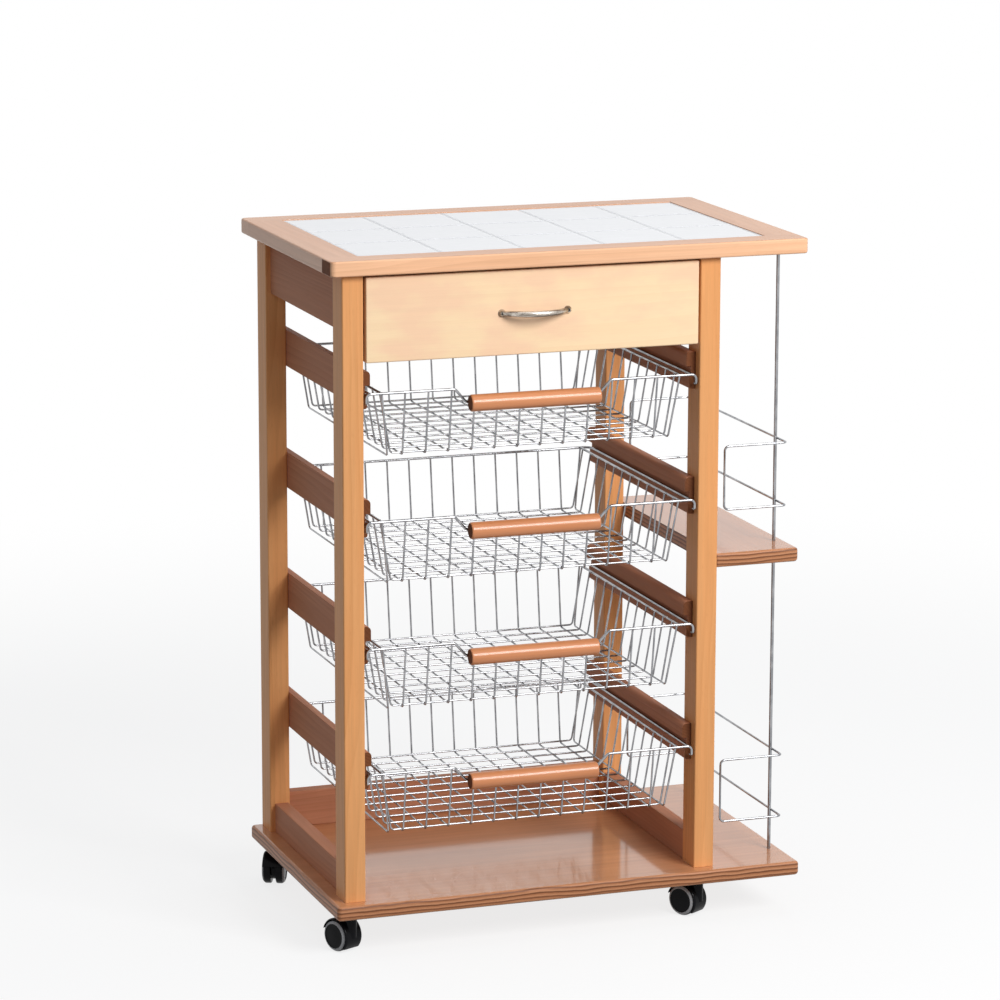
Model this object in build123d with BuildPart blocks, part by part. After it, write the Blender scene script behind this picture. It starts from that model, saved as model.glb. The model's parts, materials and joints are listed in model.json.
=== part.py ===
import math
import os

from build123d import *

# Serving cart with a tiled top, one drawer, four wire baskets on grooved runners,
# an open side with two shelves, and four swivel casters. Millimetres, +Z up.
# The origin is on the floor, under the middle of the whole cart.

# tiles: their size and number set the size of the top, and so of the whole cart
tile_size = 108
tile_joint = 2.5
tile_columns = 5
tile_rows = 3
tile_thickness = 6.3
tile_ease = 1
grout_drop = 0.7

# top frame and bed
end_member = 46.5
long_member = 38
top_thickness = 20
top_round = 7
top_ease = 2.5
bed_thickness = 13
bed_lip = 8

# heights
post_height = 818
caster_height = 54.5

# how far the top reaches past the posts; the right end stands over the open shelves
top_over_left = 18
top_over_right = 118
top_over_front = 12
top_over_back = 16

# posts and rails
post_width = 28
post_depth = 41
post_ease = 1.2
rail_thickness = 19
rail_inset = 7
apron_height = 75
side_rail_height = 40
back_rail_height = 50
rail_ease = 1

# base board and middle shelf
board_thickness = 19
board_over_left = 15
board_end_gap = 1
board_over_front = 18
board_over_back = 5
board_corner = 6
board_ease = 3.5
shelf_end_gap = 2
shelf_thickness = 19
shelf_rise = 425
shelf_corner = 6
shelf_ease = 3

# upright rods of the open side
rod_diameter = 4.6
rod_end_gap = 17
rod_inset = 50
rod_seat = 8
rod_fit = 0.05

# guard rails round the two open shelves
guard_wire = 3
guard_low = 54
guard_high = 138
guard_end_gap = 17
guard_inset = 20
guard_bend = 5

# basket runners
runner_count = 4
runner_first = 146
runner_top_gap = 12.5
runner_height = 49
runner_thickness = 13
runner_lip_back = 4
runner_start = 14
runner_end_gap = 4
runner_round = 6
groove_low = 19
groove_height = 11
groove_depth = 7

# wire baskets
basket_wire = 2.5
frame_wire = 3.5
frame_sides = 8
mesh_sides = 6
weld_gap = 0.02
basket_drop = 83
basket_pitch = 31
basket_lean_side = 14
basket_lean_front = 12.5
basket_lean_back = 11.5
basket_travel_gap = 0.4
outer_wire_inset = 9
inner_wire_inset = 24
front_wire_inset = 4
front_wire_back = 2
basket_back_gap = 7
corner_lean = 11
hook_drop = 12.5
hook_return = 6

# wooden grips on the baskets
grip_diameter = 22
grip_length = 176
grip_drop = 18
grip_slope = 18
grip_ease = 1.6
grip_slot_fit = 0.2
grip_wire_out = 2
grip_sides = 16

# drawer
drawer_gap = 3
drawer_top_gap = 3.5
drawer_height = 109
drawer_proud = 2
drawer_front_thickness = 18
drawer_side_thickness = 13
drawer_side_height = 66
drawer_side_gap = 1.5
drawer_back_gap = 14
drawer_bottom_thickness = 4
drawer_bottom_rise = 7
drawer_tongue = 5
drawer_box_rise = 27
drawer_ease = 1.5
slot_fit = 0.2
strip_height = 9
strip_thickness = 7.5
strip_groove_fit = 0.6
strip_groove_depth = 7
strip_start = 20

# drawer handle
handle_span = 97
handle_reach = 25
handle_wire = 8
boss_diameter = 11
handle_sides = 10
bow_steps = 8
boss_height = 4
screw_diameter = 4
screw_head = 8
screw_head_height = 2.4
screw_grip = 9
screw_fit = 0.05

# casters
wheel_diameter = 42
wheel_width = 12
wheel_gap = 0.8
web_thickness = 5
web_reach = 15
hood_gap = 1
hood_thickness = 2
hood_ease = 3
hood_tilt = 30
tread_ease = 3.5
dish_radius = 13
dish_depth = 1.5
caster_trail = 17
wheel_sides = 20
small_sides = 10
axle_diameter = 6
axle_fit = 0.06
stem_diameter = 8
stem_length = 36
sleeve_wall = 2
sleeve_length = 42
flange_diameter = 22
flange_thickness = 2
flange_gap = 0.5
boss_width = 16
caster_angles = {"front_left": 115, "front_right": 122, "back_left": 245, "back_right": 222}

# places that follow from the sizes above
board_low = caster_height
board_top = board_low + board_thickness
top_low = board_top + post_height
top_high = top_low + top_thickness
tiled_width = tile_columns * (tile_size + tile_joint) + tile_joint
tiled_depth = tile_rows * (tile_size + tile_joint) + tile_joint
top_width = tiled_width + 2 * end_member
top_depth = tiled_depth + 2 * long_member
top_left = -top_width / 2
top_right = top_width / 2
left_face = top_left + top_over_left
right_face = top_right - top_over_right
frame_depth = top_depth - top_over_front - top_over_back
front_reach = drawer_proud + handle_reach
overall_depth = front_reach + frame_depth + top_over_back
front_face = front_reach - overall_depth / 2
back_face = front_face + frame_depth
opening_left = left_face + post_width
opening_right = right_face - post_width
opening_middle = (opening_left + opening_right) / 2
inner_front = front_face + post_depth
inner_back = back_face - post_depth
shelf_top = board_top + shelf_rise
shelf_low = shelf_top - shelf_thickness
rod_x = top_right - rod_end_gap
rod_places = {"front": front_face + rod_inset, "back": back_face - rod_inset}
drawer_face = front_face - drawer_proud
drawer_back_of_front = drawer_face + drawer_front_thickness
drawer_high = top_low - drawer_top_gap
drawer_low = drawer_high - drawer_height
runner_low = board_top + runner_first
runner_pitch = (drawer_low - runner_top_gap - runner_height - runner_low) / (runner_count - 1)
drawer_middle = (drawer_high + drawer_low) / 2
box_low = drawer_low + drawer_box_rise
box_high = box_low + drawer_side_height

os.makedirs("parts", exist_ok=True)


def save(part, name):
    part.label = name
    export_step(part, f"parts/{name}.step")


def block(low, high):
    """A box between two corners, for use inside a part."""
    size = [b - a for a, b in zip(low, high)]
    middle = [(a + b) / 2 for a, b in zip(low, high)]
    with Locations(Vector(*middle)):
        Box(*size)


def cut_block(low, high):
    size = [b - a for a, b in zip(low, high)]
    middle = [(a + b) / 2 for a, b in zip(low, high)]
    with Locations(Vector(*middle)):
        Box(*size, mode=Mode.SUBTRACT)


def flat_radius(width, sides):
    """Corner radius of a regular section that is width across its flats."""
    return width / 2 / math.cos(math.pi / sides)


def faceted_hole(radius, sides):
    """A many-sided hole that a round pin of this radius fits."""
    RegularPolygon(flat_radius(2 * radius, sides), sides)


# The four posts are plain uprights with eased corners. Each has a hole for its
# caster sleeve in the foot.
post_left = {"front_left": left_face, "back_left": left_face,
             "front_right": opening_right, "back_right": opening_right}
post_front = {"front_left": front_face, "front_right": front_face,
              "back_left": inner_back, "back_right": inner_back}
sleeve_outer = stem_diameter / 2 + axle_fit + sleeve_wall
for corner in post_left:
    x = post_left[corner]
    y = post_front[corner]
    middle_x = x + post_width / 2
    middle_y = y + post_depth / 2
    with BuildPart() as post:
        block((x, y, board_top), (x + post_width, y + post_depth, top_low))
        chamfer(post.edges().filter_by(Axis.Z), post_ease)
        with BuildSketch(Plane.XY.offset(board_top)):
            with Locations((middle_x, middle_y)):
                faceted_hole(sleeve_outer, small_sides)
        extrude(amount=sleeve_length - board_thickness, mode=Mode.SUBTRACT)
    save(post.part, f"post_{corner}")

# Rails between the posts, set back from their outer faces: three aprons under
# the top, and three rails standing on the base board.
back_rail_front = back_face - rail_inset - rail_thickness
side_rail_x = {"left": left_face + rail_inset, "right": right_face - rail_inset - rail_thickness}
for side in side_rail_x:
    x = side_rail_x[side]
    with BuildPart() as apron:
        block((x, inner_front, top_low - apron_height), (x + rail_thickness, inner_back, top_low))
        chamfer(apron.edges().filter_by(Axis.Y).group_by(Axis.Z)[0], rail_ease)
    save(apron.part, f"apron_{side}")
    with BuildPart() as bottom_rail:
        block((x, inner_front, board_top), (x + rail_thickness, inner_back, board_top + side_rail_height))
        chamfer(bottom_rail.edges().filter_by(Axis.Y).group_by(Axis.Z)[-1], rail_ease)
    save(bottom_rail.part, f"bottom_rail_{side}")

with BuildPart() as apron_back:
    block((opening_left, back_rail_front, top_low - apron_height),
          (opening_right, back_rail_front + rail_thickness, top_low))
    chamfer(apron_back.edges().filter_by(Axis.X).group_by(Axis.Z)[0], rail_ease)
save(apron_back.part, "apron_back")

with BuildPart() as bottom_rail_back:
    block((opening_left, back_rail_front, board_top),
          (opening_right, back_rail_front + rail_thickness, board_top + back_rail_height))
    chamfer(bottom_rail_back.edges().filter_by(Axis.X).group_by(Axis.Z)[-1], rail_ease)
save(bottom_rail_back.part, "bottom_rail_back")

# The base board has rounded corners, holes for the caster sleeves, and blind
# seats for the two rods.
board_left = left_face - board_over_left
board_right = top_right - board_end_gap
board_front = front_face - board_over_front
board_back = back_face + board_over_back
with BuildPart() as base_board:
    with BuildSketch(Plane.XY.offset(board_low)):
        with Locations(((board_left + board_right) / 2, (board_front + board_back) / 2)):
            RectangleRounded(board_right - board_left, board_back - board_front, board_corner)
    extrude(amount=board_thickness)
    chamfer(base_board.faces().filter_by(Axis.Z).edges(), board_ease)
    with BuildSketch(Plane.XY.offset(board_low)):
        for corner in post_left:
            with Locations((post_left[corner] + post_width / 2, post_front[corner] + post_depth / 2)):
                faceted_hole(sleeve_outer, small_sides)
    extrude(amount=board_thickness, mode=Mode.SUBTRACT)
    with BuildSketch(Plane.XY.offset(board_top)):
        for y in rod_places.values():
            with Locations((rod_x, y)):
                faceted_hole(rod_diameter / 2 + rod_fit, small_sides)
    extrude(amount=-rod_seat, mode=Mode.SUBTRACT)
save(base_board.part, "base_board")

# The middle shelf butts against the right posts and is drilled for the rods.
with BuildPart() as middle_shelf:
    block((right_face, front_face, shelf_low), (top_right - shelf_end_gap, back_face, shelf_top))
    outer_corners = middle_shelf.edges().filter_by(Axis.Z).group_by(Axis.X)[-1]
    fillet(outer_corners, shelf_corner)
    chamfer(middle_shelf.faces().sort_by(Axis.Z)[-1].edges().sort_by(Axis.X)[1:], shelf_ease)
    with BuildSketch(Plane.XY.offset(shelf_low)):
        for y in rod_places.values():
            with Locations((rod_x, y)):
                faceted_hole(rod_diameter / 2 + rod_fit, small_sides)
    extrude(amount=shelf_thickness, mode=Mode.SUBTRACT)
save(middle_shelf.part, "middle_shelf")

# The top is a frame of four rounded members round a bed that carries the tiles.
top_front = front_face - top_over_front
top_back = back_face + top_over_back
tiled_left = top_left + end_member
tiled_right = top_right - end_member
tiled_front = top_front + long_member
tiled_back = top_back - long_member
bed_high = top_low + bed_thickness

for name, outer, inner, lip in (("front", top_front, tiled_front, bed_lip),
                                ("back", top_back, tiled_back, -bed_lip)):
    with BuildPart() as long_rail:
        block((top_left, min(outer, inner), top_low), (top_right, max(outer, inner), top_high))
        corners = long_rail.edges().filter_by(Axis.Z).group_by(Axis.Y)[0 if name == "front" else -1]
        fillet(corners, top_round)
        for face in (long_rail.faces().sort_by(Axis.Z)[0], long_rail.faces().sort_by(Axis.Z)[-1]):
            edges = face.edges().sort_by(Axis.Y, reverse=name == "back")
            chamfer(edges[:-1], top_ease)
        cut_block((tiled_left - bed_lip, min(inner, inner - lip), top_low),
                  (tiled_right + bed_lip, max(inner, inner - lip), bed_high))
    save(long_rail.part, f"top_rail_{name}")

for name, outer, inner, lip in (("left", top_left, tiled_left, bed_lip),
                                ("right", top_right, tiled_right, -bed_lip)):
    with BuildPart() as end_rail:
        block((min(outer, inner), tiled_front, top_low), (max(outer, inner), tiled_back, top_high))
        long_edges = end_rail.edges().filter_by(Axis.Y).group_by(Axis.X)[0 if name == "left" else -1]
        chamfer(long_edges, top_ease)
        cut_block((min(inner, inner - lip), tiled_front, top_low),
                  (max(inner, inner - lip), tiled_back, bed_high))
        if name == "right":
            with BuildSketch(Plane.XY.offset(top_low)):
                for y in rod_places.values():
                    with Locations((rod_x, y)):
                        faceted_hole(rod_diameter / 2 + rod_fit, small_sides)
            extrude(amount=rod_seat, mode=Mode.SUBTRACT)
    save(end_rail.part, f"top_rail_{name}")

with BuildPart() as tile_bed:
    block((tiled_left - bed_lip, tiled_front - bed_lip, top_low),
          (tiled_right + bed_lip, tiled_back + bed_lip, bed_high))
save(tile_bed.part, "tile_bed")

tiled_middle = ((tiled_left + tiled_right) / 2, (tiled_front + tiled_back) / 2)
tile_pitch = tile_size + tile_joint
with BuildPart() as tiles:
    with BuildSketch(Plane.XY.offset(bed_high)):
        with Locations(tiled_middle):
            with GridLocations(tile_pitch, tile_pitch, tile_columns, tile_rows):
                Rectangle(tile_size, tile_size)
    extrude(amount=tile_thickness)
    chamfer(tiles.faces().filter_by(Axis.Z).group_by(Axis.Z)[-1].edges(), tile_ease)
save(tiles.part, "tiles")

with BuildPart() as grout:
    with BuildSketch(Plane.XY.offset(bed_high)):
        with Locations(tiled_middle):
            Rectangle(tiled_right - tiled_left, tiled_back - tiled_front)
            with GridLocations(tile_pitch, tile_pitch, tile_columns, tile_rows):
                Rectangle(tile_size, tile_size, mode=Mode.SUBTRACT)
    extrude(amount=tile_thickness - tile_ease - grout_drop)
save(grout.part, "grout")

# Two upright rods hold up the free edge of the shelf and of the top.
for place, y in rod_places.items():
    with BuildPart() as rod:
        with BuildSketch(Plane.XY.offset(board_top - rod_seat)):
            with Locations((rod_x, y)):
                Circle(rod_diameter / 2)
        extrude(amount=post_height + 2 * rod_seat)
    save(rod.part, f"rod_{place}")

# Guard rails: one closed loop of wire above each open shelf, bent round three
# sides and welded to the outer sides of the rods.
guard_x = rod_x + rod_diameter / 2 + guard_wire / 2 + weld_gap
guard_left = right_face + guard_end_gap
guard_front = front_face + guard_inset
guard_back = back_face - guard_inset


for name, shelf in (("low", board_top), ("middle", shelf_top)):
    low = shelf + guard_low
    high = shelf + guard_high
    route = [(guard_left, guard_front, low), (guard_x, guard_front, low), (guard_x, guard_back, low),
             (guard_left, guard_back, low), (guard_left, guard_back, high), (guard_x, guard_back, high),
             (guard_x, guard_front, high), (guard_left, guard_front, high)]
    bends = []
    for i, point in enumerate(route):
        corner = Vector(*point)
        for near in (route[i - 1], route[(i + 1) % len(route)]):
            bends.append(corner + (Vector(*near) - corner).normalized() * guard_bend)
    with BuildPart() as guard:
        with BuildLine() as guard_path:
            Polyline(*bends, close=True)
        loop = guard_path.wires()[0]
        with BuildSketch(Plane(origin=loop @ 0, z_dir=loop % 0)):
            RegularPolygon(flat_radius(guard_wire, mesh_sides), mesh_sides)
        sweep(path=loop, transition=Transition.RIGHT)
    save(guard.part, f"guard_{name}")

# Grooved runners: the upper inner edge is rounded over, and the lower lip, which
# carries the basket's wire, stands back from the face above the groove.
runner_front = front_face + runner_start
runner_back = back_face - runner_end_gap
lip_x = runner_thickness - runner_lip_back
groove_x = runner_thickness - groove_depth
groove_high = groove_low + groove_height
runner_ends = {"left": (opening_left, 1), "right": (opening_right, -1)}


def runner(x, turn, low):
    """One runner, standing out from the post face at x in the direction of turn."""
    with BuildPart() as wood:
        with BuildSketch(Plane(origin=(x, runner_back, low), x_dir=(turn, 0, 0), z_dir=(0, -turn, 0))):
            with BuildLine():
                Line((0, 0), (lip_x - runner_round / 2, 0))
                RadiusArc((lip_x - runner_round / 2, 0), (lip_x, runner_round / 2), -runner_round / 2)
                Polyline((lip_x, runner_round / 2), (lip_x, groove_low), (groove_x, groove_low),
                         (groove_x, groove_high), (runner_thickness, groove_high),
                         (runner_thickness, runner_height - runner_round))
                RadiusArc((runner_thickness, runner_height - runner_round),
                          (runner_thickness - runner_round, runner_height), -runner_round)
                Polyline((runner_thickness - runner_round, runner_height), (0, runner_height), (0, 0))
            make_face()
        extrude(amount=turn * (runner_back - runner_front))
    return wood.part


for step in range(runner_count):
    number = runner_count - step
    low = runner_low + step * runner_pitch
    for side, (x, turn) in runner_ends.items():
        save(runner(x, turn, low), f"runner_{number}_{side}")

# Wire baskets. Each is a weldment: a front wire that dips into the wooden grip
# and hooks round at its ends, an outer wire that rides in the grooves, two inner
# rim wires, and the bent wires of the mesh, which touch where they are welded.
front_wire_y = front_face + front_wire_back
rim_front = front_wire_y + frame_wire / 2 + weld_gap
back_wire_y = back_face - basket_back_gap
rim_back = back_wire_y - frame_wire / 2 - weld_gap
outer_left = opening_left + outer_wire_inset
outer_right = opening_right - outer_wire_inset
inner_left = opening_left + inner_wire_inset
inner_right = opening_right - inner_wire_inset
wall_slope = basket_lean_front / basket_drop
grip_left = opening_middle - grip_length / 2
grip_right = opening_middle + grip_length / 2
dip_y = front_wire_y + wall_slope * grip_drop
grip_y = dip_y + frame_wire / 2 - grip_diameter / 2


def bent_wire(points, width, sides, across):
    """A wire bent sharply along a line of points, with a flat of its section underneath."""
    turn = 180 / sides if sides % 4 == 0 else 0
    with BuildPart() as wire:
        with BuildLine() as wire_path:
            Polyline(*points)
        start = Vector(*points[0])
        ahead = Vector(*points[1]) - start
        with BuildSketch(Plane(origin=start, x_dir=across, z_dir=ahead)):
            RegularPolygon(flat_radius(width, sides), sides, rotation=turn)
        sweep(transition=Transition.RIGHT)
    return wire.part.solid()


def basket_wires(rim):
    """All wires of one basket whose rim wires lie at height rim."""
    floor = rim - basket_drop
    dip = rim - grip_drop
    hook = rim - hook_drop
    ends = (opening_left + front_wire_inset, opening_right - front_wire_inset)
    half_wire = (frame_wire + basket_wire) / 2 + weld_gap
    wires = []
    front_route = [(ends[0], front_wire_y + hook_return, hook), (ends[0], front_wire_y, hook),
                   (ends[0], front_wire_y, rim), (grip_left - grip_slope, front_wire_y, rim),
                   (grip_left - grip_wire_out, dip_y, dip), (grip_right + grip_wire_out, dip_y, dip),
                   (grip_right + grip_slope, front_wire_y, rim), (ends[1], front_wire_y, rim),
                   (ends[1], front_wire_y, hook), (ends[1], front_wire_y + hook_return, hook)]
    wires.append(bent_wire(front_route, frame_wire, frame_sides, (1, 0, 0)))
    outer_route = [(outer_left, rim_front, rim), (outer_left, back_wire_y, rim),
                   (outer_right, back_wire_y, rim), (outer_right, rim_front, rim)]
    wires.append(bent_wire(outer_route, frame_wire, frame_sides, (1, 0, 0)))
    for x in (inner_left, inner_right):
        wires.append(bent_wire([(x, rim_front, rim), (x, rim_back, rim)], frame_wire, frame_sides, (1, 0, 0)))
    # mesh wires that run front to back, the outermost ones leaning in at the corners
    leg_front = front_wire_y + half_wire
    leg_back = back_wire_y - half_wire
    first_x = inner_left + half_wire / 2
    count = round((inner_right - inner_left) / basket_pitch) + 1
    pitch = (opening_middle - first_x) * 2 / (count - 1)
    for i in range(count):
        x = first_x + i * pitch
        lean = corner_lean if i == 0 else -corner_lean if i == count - 1 else 0
        behind_grip = grip_left < x < grip_right
        front_top = (x, leg_front + wall_slope * grip_drop, dip) if behind_grip else (x, leg_front, rim)
        route = [front_top, (x + lean, leg_front + basket_lean_front, floor),
                 (x + lean, leg_back - basket_lean_back, floor), (x, leg_back, rim)]
        wires.append(bent_wire(route, basket_wire, mesh_sides, (1, 0, 0)))
    # mesh wires that run side to side, lying on the others at the floor
    upper = floor + basket_wire + weld_gap
    leg_left = inner_left + half_wire
    leg_right = inner_right - half_wire
    first_y = leg_front + basket_lean_front + basket_wire
    last_y = leg_back - basket_lean_back - basket_wire
    count = round((last_y - first_y) / basket_pitch) + 1
    pitch = (last_y - first_y) / (count - 1)
    for i in range(count):
        y = first_y + i * pitch
        route = [(leg_left, y, rim), (leg_left + basket_lean_side, y, upper),
                 (leg_right - basket_lean_side, y, upper), (leg_right, y, rim)]
        wires.append(bent_wire(route, basket_wire, mesh_sides, (0, 1, 0)))
    return Compound(wires)


def grip(rim):
    """A turned wooden grip, slotted along its back for the dipped front wire."""
    z = rim - grip_drop
    with BuildPart() as wood:
        with BuildSketch(Plane.YZ.offset(grip_left)):
            with Locations((grip_y, z)):
                RegularPolygon(grip_diameter / 2, grip_sides)
        extrude(amount=grip_length)
        chamfer(wood.faces().filter_by(Axis.X).edges(), grip_ease)
        slot = frame_wire / 2 + grip_slot_fit
        cut_block((grip_left, dip_y - slot, z - slot), (grip_right, grip_y + grip_diameter, z + slot))
    return wood.part


rim_rise = groove_low + frame_wire / 2 + basket_travel_gap
for step in range(runner_count):
    number = runner_count - step
    rim = runner_low + step * runner_pitch + rim_rise
    save(basket_wires(rim), f"basket_{number}_wires")
    save(grip(rim), f"basket_{number}_grip")

# Drawer: a box with grooved sides that hangs on two wooden strips, behind a
# front that closes flush between the posts.
side_faces = {"left": opening_left + drawer_side_gap, "right": opening_right - drawer_side_gap}
strip_low = (box_low + box_high - strip_height) / 2
groove_bottom = strip_low - strip_groove_fit
groove_top = strip_low + strip_height + strip_groove_fit
box_back = back_rail_front - drawer_back_gap
bottom_low = box_low + drawer_bottom_rise
bottom_high = bottom_low + drawer_bottom_thickness
inner_side_left = side_faces["left"] + drawer_side_thickness
inner_side_right = side_faces["right"] - drawer_side_thickness

for side, (x, turn) in runner_ends.items():
    strip_x = sorted((x, x + turn * strip_thickness))
    with BuildPart() as strip:
        block((strip_x[0], front_face + strip_start, strip_low),
              (strip_x[1], back_rail_front, strip_low + strip_height))
    save(strip.part, f"drawer_strip_{side}")

with BuildPart() as drawer_front:
    block((opening_left + drawer_gap, drawer_face, drawer_low),
          (opening_right - drawer_gap, drawer_back_of_front, drawer_high))
    chamfer(drawer_front.faces().sort_by(Axis.Y)[0].edges(), drawer_ease)
    cut_block((inner_side_left - drawer_tongue - slot_fit, drawer_back_of_front - drawer_tongue - slot_fit,
               bottom_low - slot_fit),
              (inner_side_right + drawer_tongue + slot_fit, drawer_back_of_front, bottom_high + slot_fit))
    with BuildSketch(Plane.XZ.offset(-drawer_back_of_front)):
        for x in (-1, 1):
            with Locations((opening_middle + x * (handle_span - handle_wire) / 2, drawer_middle)):
                faceted_hole(screw_diameter / 2 + screw_fit, small_sides)
    extrude(amount=drawer_front_thickness, mode=Mode.SUBTRACT)
save(drawer_front.part, "drawer_front")

for side, face in side_faces.items():
    turn = 1 if side == "left" else -1
    across = sorted((face, face + turn * drawer_side_thickness))
    runner_cut = sorted((face, face + turn * strip_groove_depth))
    inner_face = face + turn * drawer_side_thickness
    bottom_cut = sorted((inner_face, inner_face - turn * (drawer_tongue + slot_fit)))
    with BuildPart() as drawer_side:
        block((across[0], drawer_back_of_front, box_low), (across[1], box_back, box_high))
        cut_block((runner_cut[0], drawer_back_of_front, groove_bottom), (runner_cut[1], box_back, groove_top))
        cut_block((bottom_cut[0], drawer_back_of_front, bottom_low - slot_fit),
                  (bottom_cut[1], box_back, bottom_high + slot_fit))
    save(drawer_side.part, f"drawer_side_{side}")

with BuildPart() as drawer_back:
    block((inner_side_left, box_back - drawer_side_thickness, bottom_high + slot_fit),
          (inner_side_right, box_back, box_high))
save(drawer_back.part, "drawer_back")

with BuildPart() as drawer_bottom:
    block((inner_side_left - drawer_tongue, drawer_back_of_front - drawer_tongue, bottom_low),
          (inner_side_right + drawer_tongue, box_back, bottom_high))
save(drawer_bottom.part, "drawer_bottom")

# The bow handle is an arc of round bar between two small bosses, held by two
# screws from inside the drawer.
half_span = (handle_span - handle_wire) / 2
boss_places = [opening_middle - half_span, opening_middle + half_span]
boss_y = drawer_face - boss_height
bow_y = drawer_face - handle_reach + handle_wire / 2
with BuildPart() as handle:
    with BuildLine(mode=Mode.PRIVATE) as bow:
        ThreePointArc((boss_places[0], drawer_face, drawer_middle), (opening_middle, bow_y, drawer_middle),
                      (boss_places[1], drawer_face, drawer_middle))
    with BuildLine() as bow_path:
        Polyline(*[bow.line @ (i / bow_steps) for i in range(bow_steps + 1)])
    with BuildSketch(Plane(origin=bow_path.line @ 0, x_dir=(0, 0, 1), z_dir=bow_path.line % 0)):
        RegularPolygon(handle_wire / 2, handle_sides)
    sweep(transition=Transition.RIGHT)
    with BuildSketch(Plane.XZ.offset(-drawer_face)):
        with Locations(*[(x, drawer_middle) for x in boss_places]):
            RegularPolygon(boss_diameter / 2, small_sides)
    extrude(amount=boss_height)
    cut_block((opening_left, drawer_face, drawer_low), (opening_right, drawer_back_of_front, drawer_high))
    with BuildSketch(Plane.XZ.offset(-drawer_face)):
        with Locations(*[(x, drawer_middle) for x in boss_places]):
            faceted_hole(screw_diameter / 2 + screw_fit, small_sides)
    extrude(amount=screw_grip - boss_height, mode=Mode.SUBTRACT)
save(handle.part, "drawer_handle")

with BuildPart() as handle_screws:
    with BuildSketch(Plane.XZ.offset(-drawer_back_of_front - screw_head_height)):
        with Locations(*[(x, drawer_middle) for x in boss_places]):
            RegularPolygon(screw_head / 2, small_sides)
    extrude(amount=screw_head_height)
    with BuildSketch(Plane.XZ.offset(-drawer_back_of_front)):
        with Locations(*[(x, drawer_middle) for x in boss_places]):
            RegularPolygon(screw_diameter / 2, small_sides)
    extrude(amount=drawer_front_thickness + boss_height)
save(handle_screws.part, "handle_screws")

# Casters: a flanged sleeve in each post's foot, a hooded housing that swivels on
# its stem, and a pair of wheels on one axle, trailing behind the stem.
wheel_radius = wheel_diameter / 2
hood_inner = wheel_radius + hood_gap
hood_outer = hood_inner + hood_thickness
half_web = web_thickness / 2
hood_half = half_web + wheel_gap + wheel_width
hood_drop = wheel_radius / 4
sleeve_low = board_low - flange_thickness
stem_radius = stem_diameter / 2
sleeve_inner = stem_radius + axle_fit


def pivot(corner):
    return (post_left[corner] + post_width / 2, post_front[corner] + post_depth / 2)


with BuildPart() as caster_sleeves:
    with BuildSketch(Plane.XY.offset(sleeve_low)):
        with Locations(*[pivot(corner) for corner in post_left]):
            RegularPolygon(flange_diameter / 2, small_sides)
    extrude(amount=flange_thickness)
    with BuildSketch(Plane.XY.offset(board_low)):
        with Locations(*[pivot(corner) for corner in post_left]):
            RegularPolygon(sleeve_outer, small_sides)
    extrude(amount=sleeve_length - flange_thickness)
    with BuildSketch(Plane.XY.offset(sleeve_low)):
        with Locations(*[pivot(corner) for corner in post_left]):
            faceted_hole(sleeve_inner, small_sides)
    extrude(amount=sleeve_length, mode=Mode.SUBTRACT)
save(caster_sleeves.part, "caster_sleeves")


def caster_frame(corner):
    """Axle centre and the directions of trail and axle for one caster."""
    angle = math.radians(caster_angles[corner])
    trail = Vector(math.cos(angle), math.sin(angle), 0)
    centre = Vector(*pivot(corner), wheel_radius) + trail * caster_trail
    return centre, trail, trail.rotate(Axis.Z, 90)


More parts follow.
